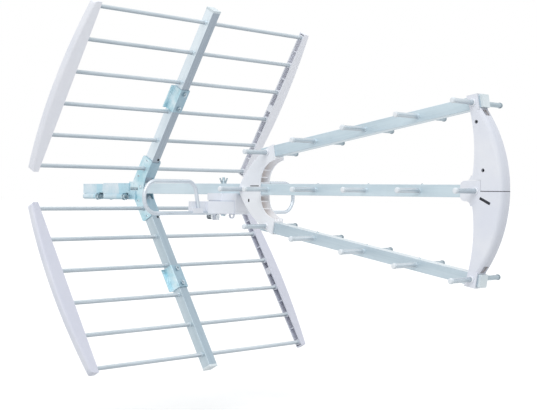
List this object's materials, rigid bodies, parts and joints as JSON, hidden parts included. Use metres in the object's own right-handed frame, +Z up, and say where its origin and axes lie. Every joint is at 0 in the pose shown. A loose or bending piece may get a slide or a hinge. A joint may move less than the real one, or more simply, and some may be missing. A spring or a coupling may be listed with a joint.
{
  "type": "outdoor tv antenna",
  "caption": "Outdoor television antenna with a V shaped rod reflector, a folded dipole with its matching box, fanned director booms and a mast clamp.",
  "frame": {"origin": "on the mast's axis, where the centre boom's axis crosses it", "axes": "+X along the centre boom towards the nose, +Z up along the mast, +Y to the far side of the picture"},
  "size_m": [0.9505, 0.605, 0.6706],
  "materials": {
    "boom_tube": "cool, clear anodised extrusion",
    "director_tube": "drawn tube, satin",
    "reflector_rod": "drawn tube, satin",
    "dipole_rod": "drawn rod, satin",
    "moulded_white": "white moulding, fine satin",
    "tip_plastic": "white push-on caps",
    "plug_plastic": "white plugs",
    "box_plastic": "white moulding with a fine grain",
    "folded_sheet": "zinc plated sheet with a pale blue cast",
    "clamp_steel": "zinc plated pressed steel",
    "fasteners": "zinc plated",
    "connector_metal": "nickel plated",
    "circuit_board": "green laminate"
  },
  "bodies": {
    "root": {"center_boom": "boom_tube", "upper_boom": "boom_tube", "lower_boom": "boom_tube", "center_director_0": "director_tube", "center_director_1": "director_tube", "center_director_2": "director_tube", "center_director_3": "director_tube", "center_director_4": "director_tube", "center_director_5": "director_tube", "upper_director_1": "director_tube", "upper_director_2": "director_tube", "upper_director_3": "director_tube", "upper_director_4": "director_tube", "upper_director_5": "director_tube", "lower_director_1": "director_tube", "lower_director_2": "director_tube", "lower_director_3": "director_tube", "lower_director_4": "director_tube", "lower_director_5": "director_tube", "upper_rod_1": "reflector_rod", "upper_rod_2": "reflector_rod", "upper_rod_3": "reflector_rod", "upper_rod_4": "reflector_rod", "upper_rod_5": "reflector_rod", "upper_rod_6": "reflector_rod", "lower_rod_1": "reflector_rod", "lower_rod_2": "reflector_rod", "lower_rod_3": "reflector_rod", "lower_rod_4": "reflector_rod", "lower_rod_5": "reflector_rod", "lower_rod_6": "reflector_rod", "upper_spar_inner": "boom_tube", "upper_spar_outer": "boom_tube", "lower_spar_inner": "boom_tube", "lower_spar_outer": "boom_tube", "director_caps": "tip_plastic", "splices": "folded_sheet", "splice_screws": "fasteners", "cap_upper_near": "moulded_white", "cap_upper_far": "moulded_white", "cap_lower_near": "moulded_white", "cap_lower_far": "moulded_white", "end_plugs": "plug_plastic", "rivets": "fasteners", "hinge_bracket": "folded_sheet", "rear_bow": "moulded_white", "nose_upper": "moulded_white", "nose_lower": "moulded_white", "dipole_loop_near": "dipole_rod", "dipole_loop_far": "dipole_rod", "dipole_box": "box_plastic", "box_lid": "box_plastic", "balun_board": "circuit_board", "cable_connector": "connector_metal", "dipole_bolt": "fasteners", "wing_nut": "fasteners", "mast_bracket": "clamp_steel", "mast_jaw": "clamp_steel", "clamp_bolts": "fasteners"}
  },
  "joints": []
}
